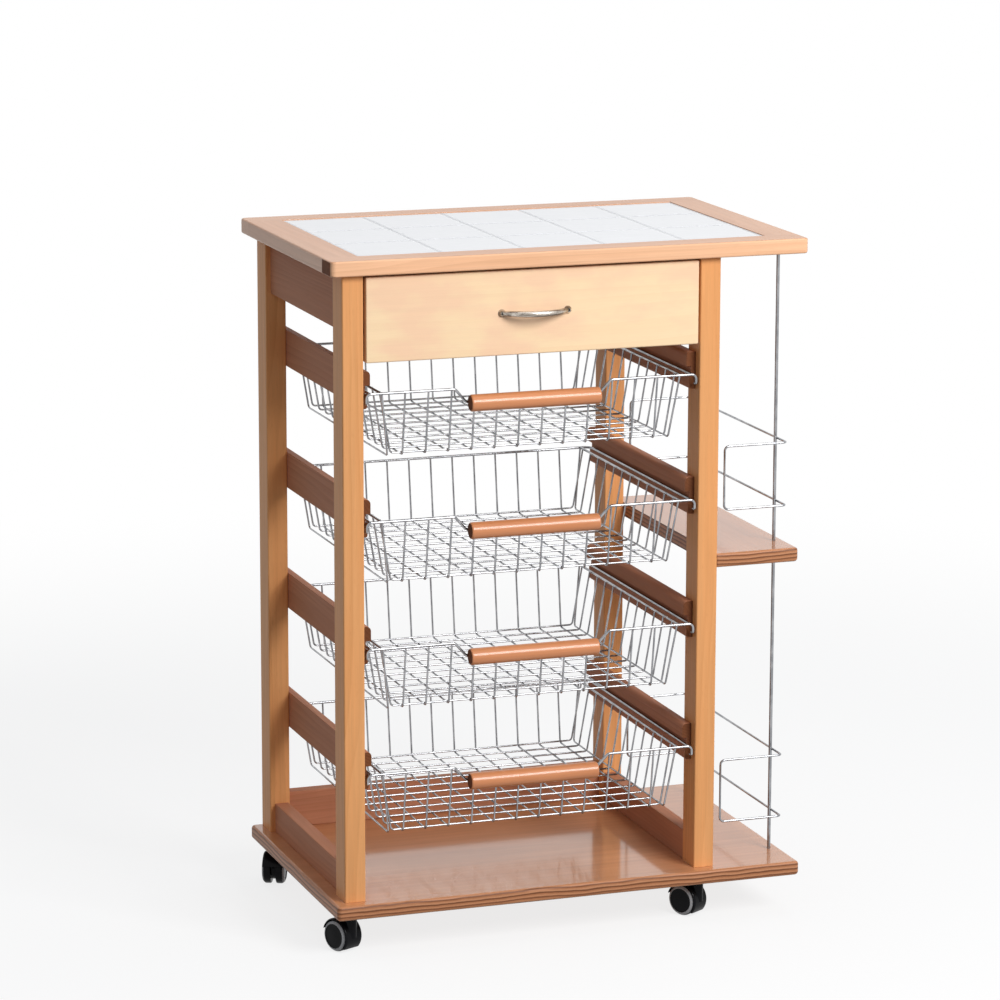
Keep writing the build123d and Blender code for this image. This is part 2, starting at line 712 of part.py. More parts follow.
for corner in post_left:
    centre, trail, axle = caster_frame(corner)
    pivot_x, pivot_y = pivot(corner)
    side_plane = Plane(origin=centre, x_dir=-trail, z_dir=axle)
    boss_high = sleeve_low - flange_gap
    with BuildPart() as housing:
        # the hood, tilted to reach lower on the stem's side, with the web between the wheels
        with BuildSketch(side_plane):
            RegularPolygon(flat_radius(2 * hood_outer, wheel_sides), wheel_sides)
            with Locations((0, -hood_drop)):
                Rectangle(3 * hood_outer, 2 * hood_outer, -hood_tilt, (Align.CENTER, Align.MAX),
                          mode=Mode.SUBTRACT)
        extrude(amount=hood_half, both=True)
        # both sides of the hood are eased along the curve
        for way in (1, -1):
            side_face = housing.faces().sort_by(Axis((0, 0, 0), axle * way))[-1]
            curve = [edge for edge in side_face.edges()
                     if (edge.center() - centre).cross(axle).length > hood_inner]
            chamfer(curve, hood_ease)
        # the boss under the flange
        with BuildSketch(Plane.XY.offset(wheel_radius)):
            with Locations((pivot_x, pivot_y)):
                RegularPolygon(boss_width / 2, small_sides)
        extrude(amount=boss_high - wheel_radius)
        for way in (1, -1):
            with BuildSketch(side_plane.offset(way * half_web)):
                RegularPolygon(flat_radius(2 * hood_inner, wheel_sides), wheel_sides)
            extrude(amount=way * hood_half, mode=Mode.SUBTRACT)
        # the web reaches down round the axle, and the stem stands on the boss
        with BuildSketch(side_plane):
            RegularPolygon(web_reach, small_sides)
        extrude(amount=half_web, both=True)
        with BuildSketch(Plane.XY.offset(boss_high)):
            with Locations((pivot_x, pivot_y)):
                RegularPolygon(stem_radius, small_sides)
        extrude(amount=stem_length)
        with BuildSketch(side_plane.offset(-half_web)):
            faceted_hole(axle_diameter / 2 + axle_fit, small_sides)
        extrude(amount=web_thickness, mode=Mode.SUBTRACT)
    save(housing.part, f"caster_{corner}_housing")

    # two wheels with dished outer faces on one axle, standing on a corner of their rims
    with BuildPart() as wheels:
        with BuildSketch(side_plane):
            RegularPolygon(axle_diameter / 2, small_sides)
        extrude(amount=half_web + 2 * wheel_gap, both=True)
        for way in (1, -1):
            inner_plane = side_plane.offset(way * (half_web + wheel_gap))
            outer_plane = side_plane.offset(way * hood_half)
            with BuildSketch(inner_plane):
                RegularPolygon(wheel_radius, wheel_sides)
            extrude(amount=way * wheel_width)
            outer_face = wheels.faces().sort_by(Axis((0, 0, 0), axle * way))[-1]
            chamfer(outer_face.edges(), tread_ease)
            with BuildSketch(outer_plane):
                RegularPolygon(dish_radius, wheel_sides)
            extrude(amount=-way * dish_depth, mode=Mode.SUBTRACT)
    save(wheels.part, f"caster_{corner}_wheels")
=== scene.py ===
import json
import math

import bmesh
import bpy
from mathutils import Matrix, Vector


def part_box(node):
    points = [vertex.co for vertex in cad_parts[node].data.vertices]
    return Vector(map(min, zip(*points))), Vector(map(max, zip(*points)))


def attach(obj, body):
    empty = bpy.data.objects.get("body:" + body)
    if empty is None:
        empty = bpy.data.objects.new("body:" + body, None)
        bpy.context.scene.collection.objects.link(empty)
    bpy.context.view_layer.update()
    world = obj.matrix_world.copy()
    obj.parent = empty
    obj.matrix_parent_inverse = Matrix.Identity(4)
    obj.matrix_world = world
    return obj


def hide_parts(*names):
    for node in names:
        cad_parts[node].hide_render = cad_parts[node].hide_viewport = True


# Serving cart: wooden frame, tiled top, drawer, wire baskets, open end shelves, casters.
# Lengths in the dictionaries are millimetres in the cart's own frame, floor at zero.

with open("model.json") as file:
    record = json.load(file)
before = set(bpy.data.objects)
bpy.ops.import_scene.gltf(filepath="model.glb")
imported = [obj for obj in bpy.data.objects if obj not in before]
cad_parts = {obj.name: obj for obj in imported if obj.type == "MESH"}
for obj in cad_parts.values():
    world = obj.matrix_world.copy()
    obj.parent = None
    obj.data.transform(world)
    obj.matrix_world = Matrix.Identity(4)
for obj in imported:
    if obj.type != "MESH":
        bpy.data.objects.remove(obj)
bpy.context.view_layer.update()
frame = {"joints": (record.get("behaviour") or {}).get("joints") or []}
mm = 0.001
closeBy = 0.01  # two places nearer than this count as one
alongX, alongY, alongZ = 0, 1, 2
toBack, upward = Vector((0, 1, 0)), Vector((0, 0, 1))
joints = {joint["name"]: joint for joint in frame["joints"]}
print("frame loaded")


def boxOf(node):
    low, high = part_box(node)
    return Vector(low) / mm, Vector(high) / mm


# small helpers for building node trees
def startFinish(name):
    material = bpy.data.materials.new(name)
    material.use_nodes = True
    tree = material.node_tree
    return material, tree, tree.nodes["Principled BSDF"]


def put(tree, kind, links=None, values=None, **settings):
    node = tree.nodes.new("ShaderNode" + kind)
    for key, value in settings.items():
        setattr(node, key, value)
    for socket, value in (values or {}).items():
        node.inputs[socket].default_value = value
    for socket, source in (links or {}).items():
        tree.links.new(source, node.inputs[socket])
    return node


def feed(tree, socket, value):
    if isinstance(value, bpy.types.NodeSocket):
        tree.links.new(value, socket)
    elif isinstance(value, (int, float)):
        socket.default_value = value
    else:
        socket.default_value = (*value, 1)


def mixTone(tree, amount, first, second, blend="MIX"):
    node = put(tree, "Mix", data_type="RGBA", blend_type=blend)
    for index, value in ((0, amount), (6, first), (7, second)):
        feed(tree, node.inputs[index], value)
    return node.outputs[2]


def reckon(tree, operation, *values):
    node = put(tree, "Math", operation=operation)
    for socket, value in zip(node.inputs, values):
        feed(tree, socket, value)
    return node.outputs[0]


def noiseOn(tree, vector, scale, detail=3.0, roughness=0.5):
    links = {"Vector": vector}
    values = {"Scale": scale, "Detail": detail, "Roughness": roughness}
    return put(tree, "TexNoise", links, values).outputs[0]


def scaled(tree, vector, scale):
    return put(tree, "Mapping", {"Vector": vector}, {"Scale": scale}).outputs[0]


def remap(tree, value, low, high, toLow=0.0, toHigh=1.0, **settings):
    limits = {"From Min": low, "From Max": high, "To Min": toLow, "To Max": toHigh}
    return put(tree, "MapRange", {"Value": value}, limits, **settings).outputs[0]


def dent(tree, shader, height, strength, depth):
    bump = put(tree, "Bump", {"Height": height}, {"Strength": strength, "Distance": depth * mm})
    tree.links.new(bump.outputs[0], shader.inputs["Normal"])


# Wood: rings round a pith that lies beside the board, drawn out along its grain.
# Every board carries its own grain place, so no two show the same figure.
# Each noise has its share of the scale along the grain, then its scale, detail and roughness.
woodNoise = {"drift": (0.12, 9, 2, 0.5), "patches": (0.10, 22, 2, 0.5), "streaks": (0.035, 110, 4, 0.6),
             "fibres": (0.022, 620, 3, 0.65), "pores": (0.05, 1250, 1, 0.5)}
waveLength = 0.314  # one ring of the wave texture at scale 1


def drawnNoise(tree, grain, draw, scale, detail, roughness):
    return noiseOn(tree, scaled(tree, grain, (draw, 1, 1)), scale, detail, roughness)


def woodFinish(name, look):
    material, tree, shader = startFinish(name)
    grain = put(tree, "Attribute", attribute_name="grain").outputs["Vector"]
    drift = drawnNoise(tree, grain, *woodNoise["drift"])
    bow = reckon(tree, "MULTIPLY", drift, look["bow"] * mm)
    shifted = put(tree, "VectorMath", {0: grain, 1: bow}, operation="ADD").outputs[0]
    rings = put(tree, "TexWave", {"Vector": scaled(tree, shifted, (look["stretch"], 1, 1))},
                {"Scale": waveLength / (look["ringGap"] * mm), "Distortion": look["wander"],
                 "Detail": 2.0, "Detail Scale": 0.35, "Detail Roughness": 0.55},
                wave_type="RINGS", rings_direction="X", wave_profile="SAW").outputs["Fac"]
    lateWood = reckon(tree, "POWER", rings, look["lateWood"])
    patches = drawnNoise(tree, grain, *woodNoise["patches"])
    ringShow = remap(tree, patches, 0.35, 0.65, 0.25)
    ringAmount = reckon(tree, "MULTIPLY", reckon(tree, "MULTIPLY", lateWood, look["ringDepth"]), ringShow)
    tone = mixTone(tree, ringAmount, look["light"], look["dark"])
    clouds = drawnNoise(tree, grain, look["cloudDraw"], look["cloudScale"], 3, 0.5)
    tone = mixTone(tree, remap(tree, clouds, 0.42, 0.62, toHigh=look["cloud"]), tone, look["blush"])
    streaks = drawnNoise(tree, grain, *woodNoise["streaks"])
    streakAmount = reckon(tree, "MULTIPLY_ADD", streaks, look["streak"], 1 - look["streak"] * 0.5)
    tone = mixTone(tree, 1.0, tone, streakAmount, "MULTIPLY")
    fibres = drawnNoise(tree, grain, *woodNoise["fibres"])
    fibreAmount = reckon(tree, "MULTIPLY_ADD", fibres, look["fibre"], 1 - look["fibre"] * 0.5)
    tone = mixTone(tree, 1.0, tone, fibreAmount, "MULTIPLY")
    pores = drawnNoise(tree, grain, *woodNoise["pores"])
    tone = mixTone(tree, remap(tree, pores, 0.66, 0.74, toHigh=look["pore"]), tone, look["dark"])
    tree.links.new(tone, shader.inputs["Base Color"])
    sheen = reckon(tree, "MULTIPLY_ADD", fibres, 0.16, look["rough"] - 0.08)
    tree.links.new(sheen, shader.inputs["Roughness"])
    shader.inputs["Specular IOR Level"].default_value = look["gloss"]
    shader.inputs["Coat Weight"].default_value = look["lacquer"]
    shader.inputs["Coat Roughness"].default_value = look["lacquerRough"]
    height = reckon(tree, "MULTIPLY_ADD", fibres, 0.7, reckon(tree, "MULTIPLY", rings, 0.25))
    dent(tree, shader, height, look["relief"], 0.4)
    return material


honeyPineLook = {
    "light": (0.80, 0.385, 0.155), "dark": (0.56, 0.215, 0.062), "blush": (0.80, 0.345, 0.125),
    "ringGap": 8.0, "ringDepth": 0.45, "lateWood": 1.6, "wander": 6.0, "bow": 60, "stretch": 0.05,
    "streak": 0.30, "fibre": 0.18, "pore": 0.3, "cloud": 0.5, "cloudScale": 22, "cloudDraw": 0.12,
    "rough": 0.42, "gloss": 0.10, "lacquer": 0.0, "lacquerRough": 0.16, "relief": 0.14}
honeyPine = woodFinish("honeyPine", honeyPineLook)
# the rails' and runners' pine: a pinker tone of the same wood, painted darker than the posts' as painted
# shade
pinkPineAndShade = woodFinish("pinkPineAndShade", honeyPineLook | {
    "light": (0.56, 0.25, 0.145), "dark": (0.37, 0.14, 0.072), "blush": (0.49, 0.195, 0.10), "gloss": 0.02})
# the top's members: pine painted darker and greyer than the posts' as painted shade, for faces that get less
# light than the front
topWood = woodFinish("topWood", honeyPineLook | {
    "light": (0.70, 0.38, 0.22), "dark": (0.47, 0.215, 0.105), "blush": (0.63, 0.31, 0.165),
    "ringGap": 6.5, "lacquer": 0.4, "lacquerRough": 0.14, "gloss": 0.08})
# the same pine painted paler, as painted light, for the face to the front of the front member
topEdge = woodFinish("topEdge", honeyPineLook | {
    "light": (0.90, 0.53, 0.32), "dark": (0.62, 0.31, 0.16), "blush": (0.84, 0.45, 0.25),
    "ringGap": 6.5, "gloss": 0.08})
birchFace = woodFinish("birchFace", honeyPineLook | {
    "light": (0.94, 0.70, 0.44), "dark": (0.87, 0.55, 0.31), "blush": (0.91, 0.60, 0.40),
    "ringGap": 14.0, "ringDepth": 0.25, "fibre": 0.07, "streak": 0.07, "pore": 0.2, "stretch": 0.12,
    "cloud": 0.8, "cloudScale": 26, "cloudDraw": 0.5, "gloss": 0.25})
drawerPine = woodFinish("drawerPine", honeyPineLook | {
    "light": (0.80, 0.60, 0.38), "dark": (0.62, 0.40, 0.22), "blush": (0.72, 0.50, 0.30), "gloss": 0.2})
plyFace = woodFinish("plyFace", honeyPineLook | {
    "light": (0.62, 0.275, 0.125), "dark": (0.43, 0.165, 0.065), "blush": (0.53, 0.215, 0.085),
    "ringGap": 11.0, "ringDepth": 0.3, "stretch": 0.08, "lacquer": 1.0, "lacquerRough": 0.10,
    "gloss": 0.2, "relief": 0.06})
copperWood = woodFinish("copperWood", honeyPineLook | {
    "light": (0.68, 0.27, 0.115), "dark": (0.47, 0.155, 0.05), "blush": (0.58, 0.205, 0.075),
    "ringGap": 4.0, "ringDepth": 0.25, "rough": 0.30, "gloss": 0.3, "lacquer": 0.35})
endGrain = woodFinish("endGrain", honeyPineLook | {
    "light": (0.21, 0.080, 0.036), "dark": (0.10, 0.034, 0.016), "blush": (0.14, 0.050, 0.024),
    "ringGap": 4.5, "ringDepth": 0.7, "pore": 0.6, "rough": 0.5, "gloss": 0.02})


# the plies show as wavy stripes round the edges of the boards
def plyEdgeFinish(name, look):
    material, tree, shader = startFinish(name)
    place = put(tree, "TexCoord").outputs["Object"]
    height = put(tree, "SeparateXYZ", {"Vector": place}).outputs["Z"]
    sway = noiseOn(tree, scaled(tree, place, (1, 1, 0.4)), look["swayScale"], 1)
    ripple = noiseOn(tree, scaled(tree, place, (1, 1, 2.5)), look["rippleScale"], 2)
    level = reckon(tree, "MULTIPLY_ADD", sway, look["sway"] * mm, height)
    level = reckon(tree, "MULTIPLY_ADD", ripple, look["ripple"] * mm, level)
    stack = reckon(tree, "FRACT", reckon(tree, "DIVIDE", level, look["ply"] * len(look["plies"]) * mm))
    ramp = put(tree, "ValToRGB", {"Fac": stack})
    ramp.color_ramp.interpolation = "EASE"
    while len(ramp.color_ramp.elements) < len(look["plies"]):
        ramp.color_ramp.elements.new(0.5)
    for i, tone in enumerate(look["plies"]):
        ramp.color_ramp.elements[i].position = i / (len(look["plies"]) - 1)
        ramp.color_ramp.elements[i].color = (*tone, 1)
    specks = noiseOn(tree, scaled(tree, place, (1, 1, 3)), 700, 3, 0.7)
    speckAmount = reckon(tree, "MULTIPLY_ADD", specks, 0.5, 0.75)
    tone = mixTone(tree, 1.0, ramp.outputs["Color"], speckAmount, "MULTIPLY")
    tree.links.new(tone, shader.inputs["Base Color"])
    shader.inputs["Roughness"].default_value = look["rough"]
    shader.inputs["Specular IOR Level"].default_value = look["gloss"]
    dent(tree, shader, reckon(tree, "MULTIPLY_ADD", stack, 0.4, specks), look["relief"], 0.3)
    return material


plyEdge = plyEdgeFinish("plyEdge", {
    "ply": 1.6, "sway": 9.0, "swayScale": 7, "ripple": 3.4, "rippleScale": 26, "rough": 0.42, "gloss": 0.2,
    "relief": 0.2, "plies": [(0.56, 0.25, 0.125), (0.44, 0.18, 0.080), (0.15, 0.052, 0.022),
                             (0.60, 0.28, 0.145), (0.47, 0.195, 0.09), (0.19, 0.070, 0.030),
                             (0.56, 0.25, 0.125)]})


def glazeFinish(name, look):
    material, tree, shader = startFinish(name)
    place = put(tree, "TexCoord").outputs["Object"]
    haze = noiseOn(tree, place, 22, 3)
    flecks = noiseOn(tree, place, 900, 2, 0.7)
    tone = mixTone(tree, haze, look["white"], look["shade"])
    fleckMask = remap(tree, flecks, 0.7, 0.78, toHigh=0.25)
    tone = mixTone(tree, fleckMask, tone, look["fleck"])
    tree.links.new(tone, shader.inputs["Base Color"])
    shader.inputs["Roughness"].default_value = look["rough"]
    shader.inputs["IOR"].default_value = look["ior"]
    waves = noiseOn(tree, place, look["waveScale"], 2, 0.4)
    dent(tree, shader, waves, look["relief"], 1.2)
    return material


glazedTile = glazeFinish("glazedTile", {
    "white": (0.845, 0.85, 0.87), "shade": (0.775, 0.785, 0.81), "fleck": (0.60, 0.62, 0.65),
    "rough": 0.09, "ior": 1.52, "waveScale": 34, "relief": 0.35})


def grittyFinish(name, look):
    material, tree, shader = startFinish(name)
    place = put(tree, "TexCoord").outputs["Object"]
    grit = noiseOn(tree, place, look["grit"], 4, 0.7)
    tone = mixTone(tree, grit, look["light"], look["dark"])
    tree.links.new(tone, shader.inputs["Base Color"])
    shader.inputs["Roughness"].default_value = look["rough"]
    shader.inputs["Specular IOR Level"].default_value = look["gloss"]
    dent(tree, shader, grit, look["bump"], 0.4)
    return material


jointGrout = grittyFinish("jointGrout", {
    "light": (0.80, 0.80, 0.81), "dark": (0.68, 0.68, 0.69), "grit": 700, "rough": 0.9, "gloss": 0.2,
    "bump": 0.4})
blackNylon = grittyFinish("blackNylon", {
    "light": (0.004, 0.004, 0.005), "dark": (0.008, 0.008, 0.010), "grit": 1600, "rough": 0.24,
    "gloss": 0.08, "bump": 0.06})
# pale grey for the wheels' rims, partly a painted highlight
paleRimAndHighlight = grittyFinish("paleRimAndHighlight", {
    "light": (0.44, 0.44, 0.45), "dark": (0.34, 0.34, 0.35), "grit": 1200, "rough": 0.35, "gloss": 0.3,
    "bump": 0.1})


def metalFinish(name, look):
    material, tree, shader = startFinish(name)
    place = put(tree, "TexCoord").outputs["Object"]
    brushAndStreakPlace = scaled(tree, place, look["brushAndStreakDraw"])
    # tone patches drawn out along the stretch; on the handle's nickel they are dark streaks painted in as
    # reflections
    patches = remap(tree, noiseOn(tree, brushAndStreakPlace, look["drift"], 3), 0.4, 0.6)
    tone = mixTone(tree, patches, look["light"], look["dark"])
    tree.links.new(tone, shader.inputs["Base Color"])
    shader.inputs["Metallic"].default_value = 1.0
    fine = noiseOn(tree, brushAndStreakPlace, 1500, 2)
    dullness = reckon(tree, "MULTIPLY_ADD", fine, look["spread"], look["rough"])
    tree.links.new(dullness, shader.inputs["Roughness"])
    dent(tree, shader, fine, look["bump"], 0.1)
    return material


brightChrome = metalFinish("brightChrome", {
    "light": (0.40, 0.405, 0.42), "dark": (0.28, 0.285, 0.30), "drift": 60, "brushAndStreakDraw": (1, 1, 1),
    "rough": 0.10, "spread": 0.08, "bump": 0.04})
# the handle's nickel: its dark streaks are painted reflections, drawn out along the bow
nickelWithPaintedReflections = metalFinish("nickelWithPaintedReflections", {
    "light": (0.60, 0.55, 0.49), "dark": (0.20, 0.165, 0.135), "drift": 130, "brushAndStreakDraw": (0.10, 1, 2),
    "rough": 0.20, "spread": 0.14, "bump": 0.10})
zincSteel = metalFinish("zincSteel", {
    "light": (0.58, 0.59, 0.60), "dark": (0.42, 0.43, 0.45), "drift": 240, "brushAndStreakDraw": (1, 1, 1),
    "rough": 0.32, "spread": 0.2, "bump": 0.15})
darkSteel = metalFinish("darkSteel", {
    "light": (0.20, 0.20, 0.21), "dark": (0.12, 0.12, 0.13), "drift": 200, "brushAndStreakDraw": (1, 1, 1),
    "rough": 0.28, "spread": 0.2, "bump": 0.15})
print("finishes mixed")


# A shape is drawn in millimetres and becomes a piece that rides on its body.
# Where the grain lies along, across and through a board: start, one step, number of steps.
grainPlaces = ((0, 173, 97), (12, 9, 5), (16, 8, 3))


def layGrain(mesh, name, along):
    seed = sum(ord(letter) * (i + 1) for i, letter in enumerate(name))
    low = Vector([min(vertex.co[axis] for vertex in mesh.vertices) for axis in range(3)])
    high = Vector([max(vertex.co[axis] for vertex in mesh.vertices) for axis in range(3)])
    others = [axis for axis in range(3) if axis != along]
    axes = [along] + sorted(others, key=lambda axis: low[axis] - high[axis])
    shifts = [(start + seed % steps * step) * mm for start, step, steps in grainPlaces]
    middle = (low + high) / 2
    places = []
    for vertex in mesh.vertices:
        place = vertex.co - middle
        places.extend(place[axis] + shift for axis, shift in zip(axes, shifts))
    layer = mesh.attributes.new("grain", "FLOAT_VECTOR", "POINT")
    layer.data.foreach_set("vector", places)


def makePiece(name, shape, finishes, body, nodes, along=None, pick=None, sharp=40):
    bmesh.ops.recalc_face_normals(shape, faces=shape.faces)
    for face in shape.faces:
        face.smooth = True
        face.material_index = pick(face) if pick else 0
    bmesh.ops.scale(shape, vec=(mm, mm, mm), verts=shape.verts)
    mesh = bpy.data.meshes.new(name)
    shape.to_mesh(mesh)
    shape.free()
    for finish in finishes:
        mesh.materials.append(finish)
    mesh.set_sharp_from_angle(angle=math.radians(sharp))
    if along is not None:
        layGrain(mesh, name, along)
    piece = bpy.data.objects.new(name, mesh)
    bpy.context.collection.objects.link(piece)
    even = piece.modifiers.new("evenShading", "WEIGHTED_NORMAL")
    even.keep_sharp = True
    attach(piece, body)
    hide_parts(*nodes)
    return piece


def blockShape(low, high):
    shape = bmesh.new()
    bmesh.ops.create_cube(shape, size=1)
    for vertex in shape.verts:
        vertex.co = Vector([a + (v + 0.5) * (b - a) for a, b, v in zip(low, high, vertex.co)])
    return shape


def roundOff(shape, wanted, radius, steps=3):
    edges = [edge for edge in shape.edges if wanted(edge)]
    bmesh.ops.bevel(shape, geom=edges, offset=radius, segments=steps, profile=0.5, affect="EDGES",
                    clamp_overlap=True)


def runsAlong(edge, axis):
    way = edge.verts[0].co - edge.verts[1].co
    return abs(way[axis]) > way.length * 0.99


def isVertical(edge):
    return runsAlong(edge, alongZ)


def liesAt(edge, axis, place):
    return all(abs(vertex.co[axis] - place) < closeBy for vertex in edge.verts)


def isEnd(along):
    return lambda face: 1 if abs(face.normal[along]) > 0.9 else 0


def boardPiece(name, node, finish, body, along, edge, ends=0.0, endFinish=endGrain):
    low, high = boxOf(node)
    shape = blockShape(low, high)
    roundOff(shape, lambda line: runsAlong(line, along), edge)
    if ends:
        limits = (low[along], high[along])
        roundOff(shape, lambda line: not runsAlong(line, along) and
                 any(liesAt(line, along, limit) for limit in limits), ends, 2)
    return makePiece(name, shape, [finish, endFinish], body, [node], along, isEnd(along))


def ringsToShape(shape, rings, closed=False, capped=True):
    rows = [[shape.verts.new(place) for place in ring] for ring in rings]
    count = len(rows[0])
    pairs = list(zip(rows, rows[1:])) + ([(rows[-1], rows[0])] if closed else [])
    for first, second in pairs:
        for i in range(count):
            j = (i + 1) % count
            shape.faces.new((first[i], first[j], second[j], second[i]))
    if capped and not closed:
        shape.faces.new(list(reversed(rows[0])))
        shape.faces.new(rows[-1])


def circleRing(centre, across, up, radius, sides):
    turns = [2 * math.pi * i / sides for i in range(sides)]
    return [centre + (across * math.cos(turn) + up * math.sin(turn)) * radius for turn in turns]


def turnedShape(shape, outline, origin, axis, sides=40):
    axis = axis.normalized()
    across = axis.orthogonal().normalized()
    up = axis.cross(across)
    ringsToShape(shape, [circleRing(origin + axis * along, across, up, max(radius, 0.02), sides)
                         for along, radius in outline])


def roundedRoute(points, radius, steps=5, closed=False):
    points = [Vector(point) for point in points]
    route = []
    for i, corner in enumerate(points):
        if not closed and i in (0, len(points) - 1):
            route.append(corner)
            continue
        before = points[i - 1] - corner
        after = points[(i + 1) % len(points)] - corner
        half = before.angle(after) / 2
        if half > math.radians(88):
            route.append(corner)
            continue
        reach = min(radius / math.tan(half), before.length * 0.48, after.length * 0.48)
        bend = reach * math.tan(half)
        centre = corner + (before.normalized() + after.normalized()).normalized() * (bend / math.sin(half))
        start = (corner + before.normalized() * reach - centre).normalized()
        end = (corner + after.normalized() * reach - centre).normalized()
        route.extend(centre + start.slerp(end, k / steps) * bend for k in range(steps + 1))
    return route


def tubeShape(shape, points, radius, sides=12, closed=False, ease=0.3):
    count = len(points)
    ways = []
    for i in range(count):
        ahead = points[(i + 1) % count] if closed or i < count - 1 else points[i]
        behind = points[i - 1] if closed or i > 0 else points[i]
        ways.append((ahead - behind).normalized())
    across = ways[0].orthogonal().normalized()
    rings = []
    for i in range(count):
        if i:
            across = ways[i - 1].rotation_difference(ways[i]) @ across
        across = (across - ways[i] * across.dot(ways[i])).normalized()
        up = ways[i].cross(across)
        if not closed and i == 0:
            rings.append(circleRing(points[i], across, up, radius * (1 - ease), sides))
            rings.append(circleRing(points[i] + ways[i] * radius * ease, across, up, radius, sides))
        elif not closed and i == count - 1:
            rings.append(circleRing(points[i] - ways[i] * radius * ease, across, up, radius, sides))
            rings.append(circleRing(points[i], across, up, radius * (1 - ease), sides))
        else:
            rings.append(circleRing(points[i], across, up, radius, sides))
    if closed:
        twist = math.atan2(up.dot(ways[0].cross(ways[0].orthogonal())), across.dot(ways[0].orthogonal()))
        offset = round(-twist / (2 * math.pi) * sides) % sides
        rings.append(rings[0][-offset:] + rings[0][:-offset] if offset else list(rings[0]))
        ringsToShape(shape, rings, capped=False)
        bmesh.ops.remove_doubles(shape, verts=shape.verts, dist=0.001)
    else:
        ringsToShape(shape, rings)


# Frame: posts stand between the base board and the top, rails run between them.
frameLook = {"postEase": 2.0, "endEase": 0.5, "railEase": 1.2, "stripEase": 0.8, "sides": ("left", "right"),
             "corners": ("front_left", "front_right", "back_left", "back_right")}
for corner in frameLook["corners"]:
    boardPiece(f"post_{corner}_wood", f"post_{corner}", honeyPine, "frame", alongZ, frameLook["postEase"],
               frameLook["endEase"])
for side in frameLook["sides"]:
    for node, finish, ease in (("apron", pinkPineAndShade, "railEase"), ("bottom_rail", pinkPineAndShade, "railEase"),
                               ("drawer_strip", drawerPine, "stripEase")):
        boardPiece(f"{node}_{side}_wood", f"{node}_{side}", finish, "frame", alongY, frameLook[ease])
for node in ("apron_back", "bottom_rail_back"):
    boardPiece(f"{node}_wood", node, pinkPineAndShade, "frame", alongX, frameLook["railEase"])
print("posts and rails done")


# Plywood boards: rounded corners, softened edges, striped all round.
def isRim(face):
    return 1 if abs(face.normal.z) < 0.96 else 0


baseLook = {"corner": 6, "edge": 4.5}
low, high = boxOf("base_board")
shape = blockShape(low, high)
roundOff(shape, isVertical, baseLook["corner"], 8)
roundOff(shape, lambda edge: not isVertical(edge), baseLook["edge"], 4)
makePiece("base_board_ply", shape, [plyFace, plyEdge], "frame", ["base_board"], alongX, isRim)

shelfLook = {"corner": 6, "edge": 4.2}
low, high = boxOf("middle_shelf")
shape = blockShape(low, high)
roundOff(shape, lambda edge: isVertical(edge) and edge.verts[0].co.x > low.x + 1, shelfLook["corner"], 6)
roundOff(shape, lambda edge: not isVertical(edge) and max(v.co.x for v in edge.verts) > low.x + 1,
         shelfLook["edge"], 3)
makePiece("middle_shelf_ply", shape, [plyFace, plyEdge], "frame", ["middle_shelf"], alongY, isRim)
print("boards done")

# Top: two long members over the full width, two end members between them.
# The front member shows end grain on its ends; its face to the front is painted paler as painted light.
topLook = {"corner": 7, "edge": 2.5}


# faces to the front take the pale painted-light finish, the ends take end grain
def frontMember(face):
    if abs(face.normal.x) > 0.9:
        return 1
    return 2 if face.normal.y < -0.7 else 0


fieldLow, fieldHigh = boxOf("grout")
for side in ("front", "back"):
    low, high = boxOf(f"top_rail_{side}")
    outerY = low.y if side == "front" else high.y
    shape = blockShape(low, high)
    roundOff(shape, lambda edge: isVertical(edge) and liesAt(edge, alongY, outerY), topLook["corner"], 5)
    roundOff(shape, lambda edge: not isVertical(edge) and
             max(abs(v.co.y - outerY) for v in edge.verts) < high.y - low.y - closeBy or
             runsAlong(edge, alongY) and abs(edge.verts[0].co.x - edge.verts[1].co.x) < closeBy,
             topLook["edge"], 3)
    makePiece(f"top_{side}_wood", shape, [topWood, endGrain, topEdge], "frame", [f"top_rail_{side}"], alongX,
              frontMember if side == "front" else None)
for side in ("left", "right"):
    low, high = boxOf(f"top_rail_{side}")
    outerX = low.x if side == "left" else high.x
    shape = blockShape(low, high)
    roundOff(shape, lambda edge: runsAlong(edge, alongY) and liesAt(edge, alongX, outerX),
             topLook["edge"], 3)
    makePiece(f"top_{side}_wood", shape, [topWood, endGrain], "frame", [f"top_rail_{side}"], alongY,
              isEnd(alongY))

bedLow, bedHigh = boxOf("tile_bed")
bedShape = blockShape((fieldLow.x, fieldLow.y, bedLow.z), (fieldHigh.x, fieldHigh.y, bedHigh.z))
makePiece("tile_bed_ply", bedShape, [plyFace], "frame", ["tile_bed"], alongX)

# Tiles: each a square with softened corners whose glaze pillows towards its edges.
# A level is the distance in from the edge and the height.
tileLook = {"size": 108, "joint": 2.5, "corner": 1.2, "leastCorner": 0.2, "cornerSteps": 3, "groutRise": 5.9,
            "levels": [(0, 0.0), (0, 5.2), (0.25, 5.75), (0.8, 6.1), (2.5, 6.25), (6, 6.3)]}


def squareRing(x, y, z, size, inset):
    half = size / 2 - inset
    bend = max(tileLook["corner"] - inset, tileLook["leastCorner"])
    ring = []
    for i, (sx, sy) in enumerate(((1, 1), (-1, 1), (-1, -1), (1, -1))):
        for k in range(tileLook["cornerSteps"] + 1):
            turn = math.pi / 2 * (i + k / tileLook["cornerSteps"])
            ring.append(Vector((x + sx * (half - bend) + bend * math.cos(turn),
                                y + sy * (half - bend) + bend * math.sin(turn), z)))
    return ring


